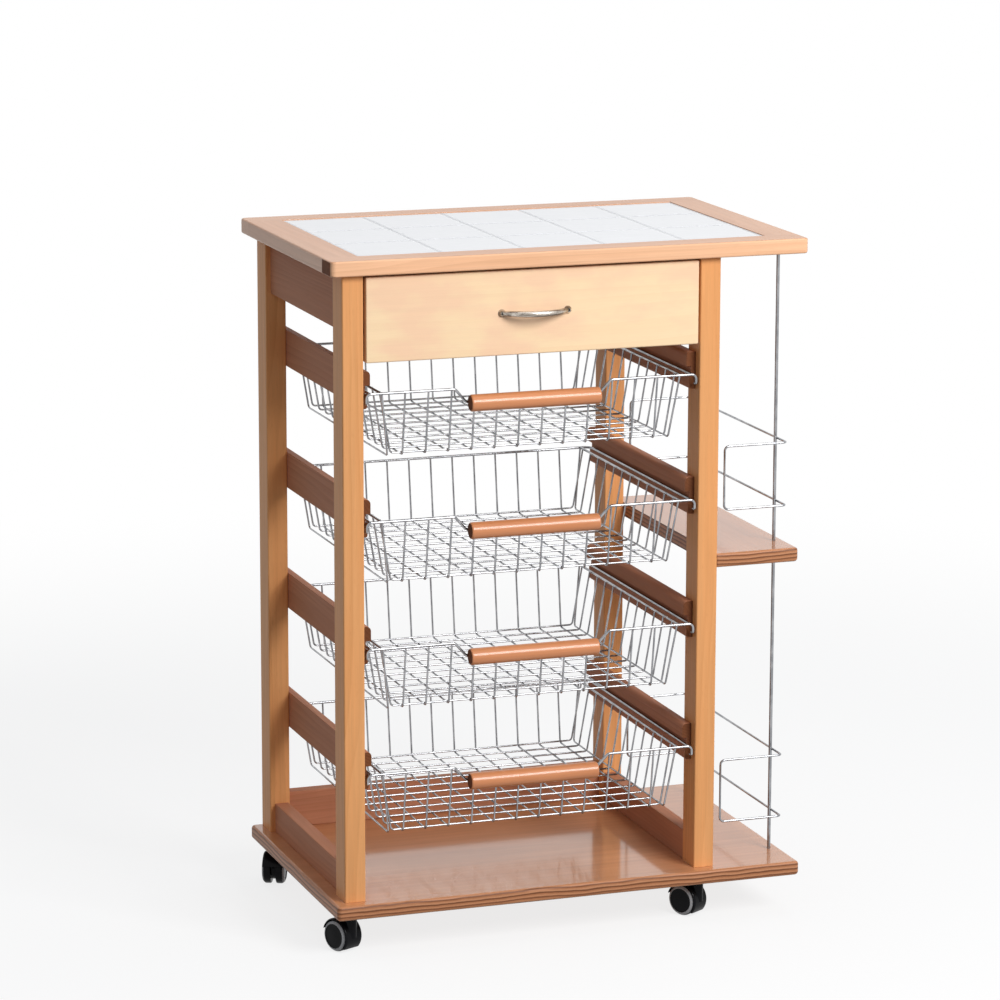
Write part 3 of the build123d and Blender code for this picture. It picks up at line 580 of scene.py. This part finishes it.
low, high = boxOf("tiles")
pitch = tileLook["size"] + tileLook["joint"]
shape = bmesh.new()
for row in range(round((high.y - low.y) / pitch)):
    for column in range(round((high.x - low.x) / pitch)):
        x = low.x + tileLook["size"] / 2 + column * pitch
        y = low.y + tileLook["size"] / 2 + row * pitch
        ringsToShape(shape, [squareRing(x, y, low.z + rise, tileLook["size"], inset)
                             for inset, rise in tileLook["levels"]])
makePiece("glazed_tiles", shape, [glazedTile], "frame", ["tiles"], sharp=60)
groutShape = blockShape(fieldLow, (fieldHigh.x, fieldHigh.y, fieldLow.z + tileLook["groutRise"]))
makePiece("grout_joints", groutShape, [jointGrout], "frame", ["grout"])
print("top done")


# Runners: one moulding, rounded over above, grooved for the basket's wire, with a lip set back.
runnerLook = {"lipBack": 4, "lipRound": 3, "topRound": 6, "grooveLow": 19, "grooveHigh": 30,
              "grooveDepth": 7, "edge": 0.5, "sharpFrom": 50, "count": 4}


def arc(centreX, centreZ, radius, start, end, steps=5):
    turns = [math.radians(start + (end - start) * k / steps) for k in range(steps + 1)]
    return [(centreX + radius * math.cos(turn), centreZ + radius * math.sin(turn)) for turn in turns]


def runnerShape(low, high, turn):
    thick, tall = high.x - low.x, high.z - low.z
    lip = thick - runnerLook["lipBack"]
    deep = thick - runnerLook["grooveDepth"]
    bend, over = runnerLook["lipRound"], runnerLook["topRound"]
    profile = [(0, 0), *arc(lip - bend, bend, bend, -90, 0), (lip, runnerLook["grooveLow"]),
               (deep, runnerLook["grooveLow"]), (deep, runnerLook["grooveHigh"]),
               (thick, runnerLook["grooveHigh"]), *arc(thick - over, tall - over, over, 0, 90), (0, tall)]
    wall = low.x if turn > 0 else high.x
    shape = bmesh.new()
    ringsToShape(shape, [[Vector((wall + turn * u, y, low.z + v)) for u, v in profile]
                         for y in (low.y, high.y)])
    bmesh.ops.recalc_face_normals(shape, faces=shape.faces)
    roundOff(shape, lambda edge: edge.calc_face_angle(0) > math.radians(runnerLook["sharpFrom"]),
             runnerLook["edge"], 2)
    return shape


for number in range(1, runnerLook["count"] + 1):
    for side, turn in (("left", 1), ("right", -1)):
        low, high = boxOf(f"runner_{number}_{side}")
        makePiece(f"runner_{number}_{side}_wood", runnerShape(low, high, turn), [pinkPineAndShade, endGrain],
                  "frame", [f"runner_{number}_{side}"], alongY, isEnd(alongY))
print("runners done")

# Open end: two upright rods, and a loop of wire above each shelf.
openEndLook = {"rodSides": 28, "rodEase": 0.8, "guardBend": 6, "guardWire": 3, "guardSides": 14}
for place in ("front", "back"):
    low, high = boxOf(f"rod_{place}")
    radius, length = (high.x - low.x) / 2, high.z - low.z
    ease = openEndLook["rodEase"]
    shape = bmesh.new()
    turnedShape(shape, [(0, radius - ease), (ease, radius), (length - ease, radius), (length, radius - ease)],
                Vector(((low.x + high.x) / 2, (low.y + high.y) / 2, low.z)), upward,
                openEndLook["rodSides"])
    makePiece(f"rod_{place}_chrome", shape, [brightChrome], "frame", [f"rod_{place}"])
for shelf in ("low", "middle"):
    low, high = boxOf(f"guard_{shelf}")
    half = Vector((1, 1, 1)) * openEndLook["guardWire"] / 2
    low, high = low + half, high - half
    corners = [(low.x, low.y, low.z), (high.x, low.y, low.z), (high.x, high.y, low.z),
               (low.x, high.y, low.z), (low.x, high.y, high.z), (high.x, high.y, high.z),
               (high.x, low.y, high.z), (low.x, low.y, high.z)]
    shape = bmesh.new()
    tubeShape(shape, roundedRoute(corners, openEndLook["guardBend"], 6, closed=True),
              openEndLook["guardWire"] / 2, openEndLook["guardSides"], closed=True)
    makePiece(f"guard_{shelf}_chrome", shape, [brightChrome], "frame", [f"guard_{shelf}"])
print("open end done")

# Drawer: a box of plain boards behind a birch-faced front.
drawerLook = {"frontEdge": 2.0, "edge": 1.0, "grooveDepth": 7, "groove": 10.2, "slotDepth": 5.2, "slot": 4.4}
boardPiece("drawer_front_birch", "drawer_front", birchFace, "drawer", alongX, drawerLook["frontEdge"],
           drawerLook["frontEdge"], drawerPine)
stripLow, stripHigh = boxOf("drawer_strip_left")
bottomLow, bottomHigh = boxOf("drawer_bottom")
grooveMiddle = (stripLow.z + stripHigh.z) / 2
slotMiddle = (bottomLow.z + bottomHigh.z) / 2
for side, turn in (("left", 1), ("right", -1)):
    low, high = boxOf(f"drawer_side_{side}")
    thick = high.x - low.x
    outer = low.x if turn > 0 else high.x
    grooveHalf, slotHalf = drawerLook["groove"] / 2, drawerLook["slot"] / 2
    grooveWall, slotWall = drawerLook["grooveDepth"], thick - drawerLook["slotDepth"]
    profile = [(0, low.z), (thick, low.z), (thick, slotMiddle - slotHalf),
               (slotWall, slotMiddle - slotHalf), (slotWall, slotMiddle + slotHalf),
               (thick, slotMiddle + slotHalf), (thick, high.z), (0, high.z),
               (0, grooveMiddle + grooveHalf), (grooveWall, grooveMiddle + grooveHalf),
               (grooveWall, grooveMiddle - grooveHalf), (0, grooveMiddle - grooveHalf)]
    shape = bmesh.new()
    ringsToShape(shape, [[Vector((outer + turn * u, y, v)) for u, v in profile] for y in (low.y, high.y)])
    bmesh.ops.recalc_face_normals(shape, faces=shape.faces)
    roundOff(shape, lambda edge: runsAlong(edge, alongY) and liesAt(edge, alongZ, high.z),
             drawerLook["edge"], 3)
    makePiece(f"drawer_side_{side}_wood", shape, [drawerPine, endGrain], "drawer", [f"drawer_side_{side}"],
              alongY, isEnd(alongY))
boardPiece("drawer_back_wood", "drawer_back", drawerPine, "drawer", alongX, drawerLook["edge"],
           endFinish=drawerPine)
low, high = boxOf("drawer_bottom")
makePiece("drawer_bottom_ply", blockShape(low, high), [drawerPine, plyEdge], "drawer", ["drawer_bottom"],
          alongX, isRim)

# Handle: a flattened bow that swells towards its middle and runs into two small bosses.
# A row of a boss is its height and what is added to the boss's or the foot's radius.
handleLook = {"boss": 11, "foot": 8.6, "bar": 8, "steps": 26, "sides": 20, "endThin": 0.8,
              "flatness": 0.86, "clear": 0.5, "bossRows": [(0, -0.2), (0.4, -0.5)],
              "footRows": [(1.1, 0.15), (2.2, -0.2), (4, -1.4)]}
low, high = boxOf("drawer_handle")
face = boxOf("drawer_front")[0].y
middle = (low + high) / 2
bossRadius = handleLook["boss"] / 2
ends = (low.x + bossRadius, high.x - bossRadius)
reachY = low.y + handleLook["bar"] / 2
halfSpan, sag = (ends[1] - ends[0]) / 2, face - reachY
bowRadius = (halfSpan ** 2 + sag ** 2) / (2 * sag)
bowCentre = Vector((middle.x, reachY + bowRadius, middle.z))
sweepAngle = math.asin(halfSpan / bowRadius)
turns = [2 * math.pi * k / handleLook["sides"] for k in range(handleLook["sides"])]
rings = []
for i in range(handleLook["steps"] + 1):
    part = 2 * i / handleLook["steps"] - 1
    sweep = part * sweepAngle
    outward = Vector((math.sin(sweep), -math.cos(sweep), 0))
    thick = handleLook["bar"] / 2 * (1 - (1 - handleLook["endThin"]) * part ** 2)
    centre = bowCentre + outward * bowRadius
    centre.y = min(centre.y, face - handleLook["clear"])
    rings.append([centre + outward * math.cos(turn) * thick * handleLook["flatness"] +
                  upward * math.sin(turn) * thick for turn in turns])
shape = bmesh.new()
ringsToShape(shape, rings)
bossOutline = [(rise, bossRadius + more) for rise, more in handleLook["bossRows"]]
bossOutline += [(rise, handleLook["foot"] / 2 + more) for rise, more in handleLook["footRows"]]
for x in ends:
    turnedShape(shape, bossOutline, Vector((x, face, middle.z)), -toBack, 32)
makePiece("bow_handle_nickel", shape, [nickelWithPaintedReflections], "drawer", ["drawer_handle"])

# The rows of a screw's head are its height and its share of the head's radius.
screwLook = {"head": 4.0, "headRows": [(0, 0.3), (0.15, 0.6), (0.9, 0.9), (1.6, 0.98), (2.4, 1)],
             "step": 0.02, "shank": 1.95, "taper": 0.05, "sides": 28}
low, high = boxOf("handle_screws")
screwOutline = [(rise, screwLook["head"] * share) for rise, share in screwLook["headRows"]]
screwOutline += [(screwOutline[-1][0] + screwLook["step"], screwLook["shank"]),
                 (high.y - low.y, screwLook["shank"] - screwLook["taper"])]
shape = bmesh.new()
for x in ends:
    turnedShape(shape, screwOutline, Vector((x, high.y, (low.z + high.z) / 2)), -toBack, screwLook["sides"])
makePiece("handle_screws_zinc", shape, [zincSteel], "drawer", ["handle_screws"])
print("drawer done")

# Baskets: every wire is its own round bar with bent corners, welded where it meets another.
basketLook = {"rimWire": 3.5, "meshWire": 2.5, "outerInset": 5, "innerInset": 20, "weldGap": 0.02,
              "pitch": 31, "leanSide": 14, "leanFront": 12.5, "leanBack": 11.5, "cornerLean": 11,
              "hookDrop": 12.5, "hookReturn": 6, "gripSlope": 18, "gripOut": 2, "rimBend": 6,
              "backBend": 12, "meshBend": 5, "rimSides": 12, "meshSides": 10, "count": 4}


def basketShape(number):
    low, high = boxOf(f"basket_{number}_wires")
    gripLow, gripHigh = boxOf(f"basket_{number}_grip")
    rimHalf, meshHalf = basketLook["rimWire"] / 2, basketLook["meshWire"] / 2
    left, right = low.x + rimHalf, high.x - rimHalf
    frontY, backY = low.y + rimHalf, high.y - rimHalf
    rim, floor = high.z - rimHalf, low.z + meshHalf
    dip = (gripLow.z + gripHigh.z) / 2
    slope = basketLook["leanFront"] / (rim - floor)
    dipY = frontY + slope * (rim - dip)
    hook = rim - basketLook["hookDrop"]
    gripLeft, gripRight = gripLow.x, gripHigh.x
    gripOut, gripSlope = basketLook["gripOut"], basketLook["gripSlope"]
    hookY = frontY + basketLook["hookReturn"]
    sides = basketLook["rimSides"]
    shape = bmesh.new()
    front = [(left, hookY, hook), (left, frontY, hook), (left, frontY, rim),
             (gripLeft - gripSlope, frontY, rim), (gripLeft - gripOut, dipY, dip),
             (gripRight + gripOut, dipY, dip), (gripRight + gripSlope, frontY, rim),
             (right, frontY, rim), (right, frontY, hook), (right, hookY, hook)]
    tubeShape(shape, roundedRoute(front, basketLook["rimBend"]), rimHalf, sides)
    outerLeft, outerRight = left + basketLook["outerInset"], right - basketLook["outerInset"]
    rimFront, rimBack = frontY + rimHalf, backY - rimHalf
    outer = [(outerLeft, rimFront, rim), (outerLeft, backY, rim), (outerRight, backY, rim),
             (outerRight, rimFront, rim)]
    tubeShape(shape, roundedRoute(outer, basketLook["backBend"], 7), rimHalf, sides)
    innerLeft, innerRight = left + basketLook["innerInset"], right - basketLook["innerInset"]
    for x in (innerLeft, innerRight):
        tubeShape(shape, [Vector((x, rimFront, rim)), Vector((x, rimBack, rim))], rimHalf, sides)
    half = rimHalf + meshHalf + basketLook["weldGap"]
    legFront, legBack = frontY + half, backY - half
    firstX = innerLeft + half / 2
    middleX = (innerLeft + innerRight) / 2
    count = round((innerRight - innerLeft) / basketLook["pitch"]) + 1
    pitch = (middleX - firstX) * 2 / (count - 1)
    for i in range(count):
        x = firstX + i * pitch
        lean = basketLook["cornerLean"] * (1 if i == 0 else -1 if i == count - 1 else 0)
        top = (x, legFront, rim)
        if gripLeft < x < gripRight:
            top = (x, legFront + slope * (rim - dip), dip)
        wire = [top, (x + lean, legFront + basketLook["leanFront"], floor),
                (x + lean, legBack - basketLook["leanBack"], floor), (x, legBack, rim)]
        tubeShape(shape, roundedRoute(wire, basketLook["meshBend"], 4), meshHalf, basketLook["meshSides"])
    upper = floor + 2 * meshHalf + basketLook["weldGap"]
    legLeft, legRight = innerLeft + half, innerRight - half
    firstY = legFront + basketLook["leanFront"] + 2 * meshHalf
    lastY = legBack - basketLook["leanBack"] - 2 * meshHalf
    count = round((lastY - firstY) / basketLook["pitch"]) + 1
    for i in range(count):
        y = firstY + i * (lastY - firstY) / (count - 1)
        wire = [(legLeft, y, rim), (legLeft + basketLook["leanSide"], y, upper),
                (legRight - basketLook["leanSide"], y, upper), (legRight, y, rim)]
        tubeShape(shape, roundedRoute(wire, basketLook["meshBend"], 4), meshHalf, basketLook["meshSides"])
    return shape


# Grips: turned dowels, slotted along the back for the dipped wire.
# A row of an end is its share of the rounding's length and the share of the radius there.
gripLook = {"slotHalf": 1.95, "wire": 3.5, "sides": 44, "endRound": 2.2,
            "endRows": [(0, 0.8), (0.12, 0.88), (0.4, 0.955), (1, 1)]}


def gripShape(number):
    low, high = boxOf(f"basket_{number}_grip")
    radius, slot = (high.z - low.z) / 2, gripLook["slotHalf"]
    centre = (low + high) / 2
    centre.y = low.y + radius
    bottom = radius - gripLook["wire"] / 2 - slot
    gap = math.asin(slot / radius)
    rows = [(low.x + step * gripLook["endRound"], size) for step, size in gripLook["endRows"]]
    rows += [(high.x - step * gripLook["endRound"], size) for step, size in reversed(gripLook["endRows"])]
    rings = []
    for x, size in rows:
        ring = [Vector((x, centre.y + bottom * size, centre.z - slot)),
                Vector((x, centre.y + bottom * size, centre.z + slot))]
        for k in range(gripLook["sides"] + 1):
            turn = gap + (2 * math.pi - 2 * gap) * k / gripLook["sides"]
            ring.append(Vector((x, centre.y + radius * size * math.cos(turn),
                                centre.z + radius * size * math.sin(turn))))
        rings.append(ring)
    shape = bmesh.new()
    ringsToShape(shape, rings)
    return shape


for number in range(1, basketLook["count"] + 1):
    makePiece(f"basket_{number}_chrome", basketShape(number), [brightChrome], f"basket_{number}",
              [f"basket_{number}_wires"])
    makePiece(f"basket_{number}_dowel", gripShape(number), [copperWood, endGrain], f"basket_{number}",
              [f"basket_{number}_grip"], alongX, isEnd(alongX))
    print(f"basket {number} done")

# Casters: a flanged sleeve under each post, a hooded housing on its stem, twin wheels with rolled rims.
casterLook = {"hoodHalf": 15.3, "hoodOuter": 23.4, "hoodInner": 21.6, "webHalf": 2.5, "hoodDrop": 5.25,
              "hoodTilt": 30, "hub": 15, "stem": 4, "stemShort": 6, "stemEase": 1, "boss": 7.8,
              "bossEase": 1.6, "bossGap": 0.5, "sides": 56, "flange": 11, "flangeThick": 2,
              "flangeEase": 0.6, "flangeBore": 4.3, "sleeve": 6.0}
# A row of a wheel is the distance in from one side, then the drop below the tread or the radius.
wheelLook = {"tread": 21, "gap": 0.8, "width": 12, "bore": 3, "axleHalf": 5, "axleRadius": 2.9,
             "innerRows": [(0, 1.6), (0.4, 0.6), (1.3, 0.1), (2.2, 0)],
             "outerRows": [(4.6, 0), (3.4, 0.4), (2.2, 1.2), (1.2, 2.2), (0.5, 3.3), (0, 4.6), (0.2, 5.2),
                           (0.8, 5.7), (0.9, 6.8)],
             "faceRows": [(0.6, 9.0), (0.4, 5.0), (0.3, 0.05)], "rimWide": 2.6, "rimDeep": 4.8}
wheelInner = casterLook["webHalf"] + wheelLook["gap"]
wheelOuter = wheelInner + wheelLook["width"]


def hoodShape(centre, axle, trail):
    outer, inner, half, web = (casterLook[key] for key in ("hoodOuter", "hoodInner", "hoodHalf", "webHalf"))
    brow = [(0.9, inner), (1.0, inner + 0.3), (1.6, outer - 1.0), (2.6, outer - 0.35), (4.0, outer)]
    section = [(along - half, away) for along, away in brow]
    section += [(half - along, away) for along, away in reversed(brow)]
    webEdge = [(web + 1.5, inner), (web + 0.4, inner - 0.5), (web, inner - 1.8), (web, 1.0)]
    section += webEdge + [(-along, away) for along, away in reversed(webEdge)]
    side = upward.cross(axle).normalized()
    shape = bmesh.new()
    rings = []
    for k in range(casterLook["sides"]):
        turn = 2 * math.pi * k / casterLook["sides"]
        out = side * math.cos(turn) + upward * math.sin(turn)
        rings.append([centre + axle * along + out * away for along, away in section])
    ringsToShape(shape, rings, closed=True)
    tilt = math.radians(casterLook["hoodTilt"])
    cut = bmesh.ops.bisect_plane(shape, geom=shape.verts[:] + shape.edges[:] + shape.faces[:],
                                 plane_co=centre - upward * casterLook["hoodDrop"],
                                 plane_no=trail * math.sin(tilt) - upward * math.cos(tilt), clear_outer=True)
    border = [item for item in cut["geom_cut"] if isinstance(item, bmesh.types.BMEdge)]
    bmesh.ops.edgeloop_fill(shape, edges=border)
    return shape


def wheelOutline():
    tread = wheelLook["tread"]
    outline = [(wheelInner, wheelLook["bore"])]
    outline += [(wheelInner + step, tread - drop) for step, drop in wheelLook["innerRows"]]
    outline += [(wheelOuter - step, tread - drop) for step, drop in wheelLook["outerRows"]]
    return outline + [(wheelOuter - step, radius) for step, radius in wheelLook["faceRows"]]


# the rolled rim of each wheel is painted paler grey than the rest: a grey strip, its paleness partly a
# painted highlight
def onRim(centre, axle):
    rimIn, rimFoot = wheelOuter - wheelLook["rimWide"], wheelLook["tread"] - wheelLook["rimDeep"]

    def pick(face):
        place = face.calc_center_median() - centre
        along = abs(place.dot(axle))
        away = (place - axle * place.dot(axle)).length
        return 1 if along > rimIn and away > rimFoot else 0
    return pick


def carve(body, tool):
    parts = []
    for name, shape in (("carveBody", body), ("carveTool", tool)):
        bmesh.ops.recalc_face_normals(shape, faces=shape.faces)
        mesh = bpy.data.meshes.new(name)
        shape.to_mesh(mesh)
        shape.free()
        parts.append(bpy.data.objects.new(name, mesh))
        bpy.context.collection.objects.link(parts[-1])
    cut = parts[0].modifiers.new("cut", "BOOLEAN")
    cut.operation = "DIFFERENCE"
    cut.solver = "EXACT"
    cut.object = parts[1]
    carved = bpy.data.meshes.new_from_object(parts[0].evaluated_get(bpy.context.evaluated_depsgraph_get()))
    for part in parts:
        bpy.data.meshes.remove(part.data)
    return carved


# the boss stands over both wheels, hollowed where they turn
def bossShape(pivot, centre, axle, top):
    boss, ease = casterLook["boss"], casterLook["bossEase"]
    height = top - centre.z
    bossBody = bmesh.new()
    turnedShape(bossBody, [(0, boss), (height - ease, boss), (height - ease * 0.4, boss - ease * 0.3),
                           (height, boss - ease)], Vector((pivot.x, pivot.y, centre.z)), upward, 40)
    wells = bmesh.new()
    for way in (1, -1):
        turnedShape(wells, [(casterLook["webHalf"], casterLook["hoodInner"]), (60, casterLook["hoodInner"])],
                    centre, axle * way, casterLook["sides"])
    return carve(bossBody, wells)


sleeveLow, sleeveHigh = boxOf("caster_sleeves")
flange, thick, sleeve = casterLook["flange"], casterLook["flangeThick"], casterLook["sleeve"]
flangeOutline = [(0, casterLook["flangeBore"]), (0, flange - casterLook["flangeEase"]), (0.5, flange),
                 (thick, flange), (thick + 0.01, sleeve), (sleeveHigh.z - sleeveLow.z, sleeve)]
bossTop = sleeveLow.z - casterLook["bossGap"]
stem, stemLength = casterLook["stem"], sleeveHigh.z - bossTop - casterLook["stemShort"]
stemOutline = [(0, stem), (stemLength - casterLook["stemEase"], stem),
               (stemLength, stem - casterLook["stemEase"])]
hubOutline = [(side * casterLook["webHalf"], casterLook["hub"]) for side in (-1, 1)]
axleOutline = [(side * wheelLook["axleHalf"], wheelLook["axleRadius"]) for side in (-1, 1)]
flangeShape = bmesh.new()
for corner in frameLook["corners"]:
    swivel, roll = joints[f"swivel_{corner}"], joints[f"roll_{corner}"]
    pivot = Vector(swivel["pos_m"]) / mm
    centre = Vector(roll["pos_m"]) / mm
    axle = Vector(roll["axis"]).normalized()
    turnedShape(flangeShape, flangeOutline, Vector((pivot.x, pivot.y, sleeveLow.z)), upward, 36)
    trail = centre - pivot
    trail = Vector((trail.x, trail.y, 0)).normalized()
    shape = hoodShape(centre, axle, trail)
    shape.from_mesh(bossShape(pivot, centre, axle, bossTop))
    turnedShape(shape, stemOutline, Vector((pivot.x, pivot.y, bossTop - 0.1)), upward, 24)
    turnedShape(shape, hubOutline, centre, axle, 36)
    makePiece(f"caster_{corner}_hood", shape, [blackNylon], f"caster_{corner}", [f"caster_{corner}_housing"])
    shape = bmesh.new()
    for way in (1, -1):
        turnedShape(shape, wheelOutline(), centre, axle * way, casterLook["sides"])
    turnedShape(shape, axleOutline, centre, axle, 24)
    makePiece(f"caster_{corner}_wheel_pair", shape, [blackNylon, paleRimAndHighlight], f"wheels_{corner}",
              [f"caster_{corner}_wheels"], pick=onRim(centre, axle))
makePiece("caster_flanges_steel", flangeShape, [darkSteel], "frame", ["caster_sleeves"])
print("casters done")

# Studio: white floor that keeps a soft shadow and fades into a white surround.
floorLook = {"radius": 40.0, "sides": 64, "tone": 0.32, "seenTone": 0.93, "veil": 0.8, "fadeFrom": 1.0,
             "fadeTo": 2.6}


def seenDirectly(tree):
    path = put(tree, "LightPath")
    seen = reckon(tree, "MAXIMUM", path.outputs["Is Camera Ray"], path.outputs["Is Glossy Ray"])
    return reckon(tree, "MAXIMUM", seen, path.outputs["Is Transmission Ray"])


def floorFinish():
    material = bpy.data.materials.new("studioFloor")
    material.use_nodes = True
    tree = material.node_tree
    tree.nodes.clear()
    place = put(tree, "TexCoord").outputs["Object"]
    distance = put(tree, "VectorMath", {0: place}, operation="LENGTH").outputs["Value"]
    veil = remap(tree, distance, floorLook["fadeFrom"], floorLook["fadeTo"], floorLook["veil"],
                 interpolation_type="SMOOTHSTEP")
    seen = seenDirectly(tree)
    tone = mixTone(tree, seen, [floorLook["tone"]] * 3, [floorLook["seenTone"]] * 3)
    paint = put(tree, "BsdfDiffuse", {"Color": tone})
    glow = put(tree, "Emission", values={"Color": (1, 1, 1, 1), "Strength": 1.0})
    blend = put(tree, "MixShader", {0: reckon(tree, "MULTIPLY", veil, seen),
                                    1: paint.outputs[0], 2: glow.outputs[0]})
    output = put(tree, "OutputMaterial")
    tree.links.new(blend.outputs[0], output.inputs["Surface"])
    return material


shape = bmesh.new()
bmesh.ops.create_circle(shape, cap_ends=True, radius=floorLook["radius"], segments=floorLook["sides"])
floorMesh = bpy.data.meshes.new("studio_floor")
shape.to_mesh(floorMesh)
shape.free()
floorMesh.materials.append(floorFinish())
studioFloor = bpy.data.objects.new("studio_floor", floorMesh)
bpy.context.collection.objects.link(studioFloor)

surroundLook = {"fill": (0.90, 0.94, 1.0), "fillStrength": 0.36}
world = bpy.data.worlds.new("studioSurround")
bpy.context.scene.world = world
world.use_nodes = True
tree = world.node_tree
tree.nodes.clear()
fill = put(tree, "Background", values={"Color": (*surroundLook["fill"], 1),
                                       "Strength": surroundLook["fillStrength"]})
white = put(tree, "Background", values={"Color": (1, 1, 1, 1), "Strength": 1.0})
blend = put(tree, "MixShader", {0: seenDirectly(tree), 1: fill.outputs[0], 2: white.outputs[0]})
output = put(tree, "OutputWorld")
tree.links.new(blend.outputs[0], output.inputs["Surface"])

# Lamps: name, place in metres, size in metres, power in watts; both look at the cart's middle.
lamps = [("key_right_front", (1.2, -2.9, 2.4), 1.5, 112),
         ("overhead", (0.2, 0.3, 3.2), 1.8, 14)]
lampAim = Vector((0, 0, 0.5))
for name, place, size, power in lamps:
    light = bpy.data.lights.new(name, "AREA")
    light.shape = "SQUARE"
    light.size = size
    light.energy = power
    lamp = bpy.data.objects.new(name, light)
    bpy.context.collection.objects.link(lamp)
    lamp.location = place
    lamp.rotation_euler = (lampAim - Vector(place)).to_track_quat("-Z", "Y").to_euler()

# Camera: placed by the cart's straight edges in the photograph.
cameraLook = {"place": (-1.86215, -5.19667, 1.72210), "target": (-0.02069, 0.02730, 0.54313),
              "lens": 152.73, "sensor": 36, "roll": 0.144}
cameraData = bpy.data.cameras.new("photo_view")
cameraData.lens = cameraLook["lens"]
cameraData.sensor_width = cameraLook["sensor"]
cameraData.clip_end = 200
camera = bpy.data.objects.new("photo_view", cameraData)
bpy.context.collection.objects.link(camera)
aim = (Vector(cameraLook["target"]) - Vector(cameraLook["place"])).to_track_quat("-Z", "Y")
turn = aim.to_matrix().to_4x4() @ Matrix.Rotation(math.radians(cameraLook["roll"]), 4, "Z")
camera.matrix_world = Matrix.Translation(cameraLook["place"]) @ turn
bpy.context.scene.camera = camera
bpy.context.scene.view_settings.view_transform = "Standard"
print("studio and camera set")
